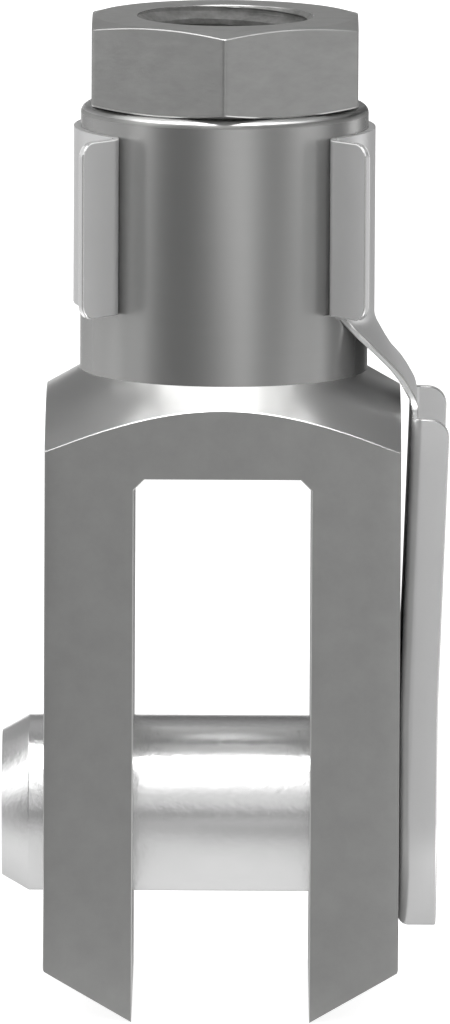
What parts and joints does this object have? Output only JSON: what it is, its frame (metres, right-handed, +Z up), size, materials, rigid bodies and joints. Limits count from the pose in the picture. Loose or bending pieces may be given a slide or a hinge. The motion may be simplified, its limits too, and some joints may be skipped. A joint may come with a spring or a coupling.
{
  "type": "tension rod clevis",
  "caption": "Square steel fork with a threaded neck and lock nut; its cross pin is riveted to a folded sheet clip that swings round the pin and snaps onto the neck.",
  "frame": {"origin": "The point where the axis of the cross pin meets the axis of the threaded neck, in the middle of the fork's slot.", "axes": "+Z runs up the thread's axis from the fork to the nut. +X runs along the pin to the side with the clip. +Y is the way the clasp swings off the neck; its mouth faces -Y."},
  "size_m": [0.0402, 0.032, 0.0894],
  "materials": {
    "fork_steel": "machined and plated steel, satin, slightly mottled on the flat faces",
    "nut_steel": "plated steel, satin",
    "pin_steel": "ground and plated steel, bright",
    "clip_steel": "plated spring steel sheet, smooth satin"
  },
  "bodies": {
    "clevis": {"clevis_body": "fork_steel", "jam_nut": "nut_steel"},
    "clip_pin": {"clevis_pin": "pin_steel", "spring_clip": "clip_steel"}
  },
  "joints": [
    {"name": "clip_swing", "type": "hinge", "parent": "clevis", "child": "clip_pin", "pos_m": [0, 0, 0], "axis": [-1, 0, 0], "range_deg": [0, 320], "deforming": ["spring_clip"]}
  ]
}
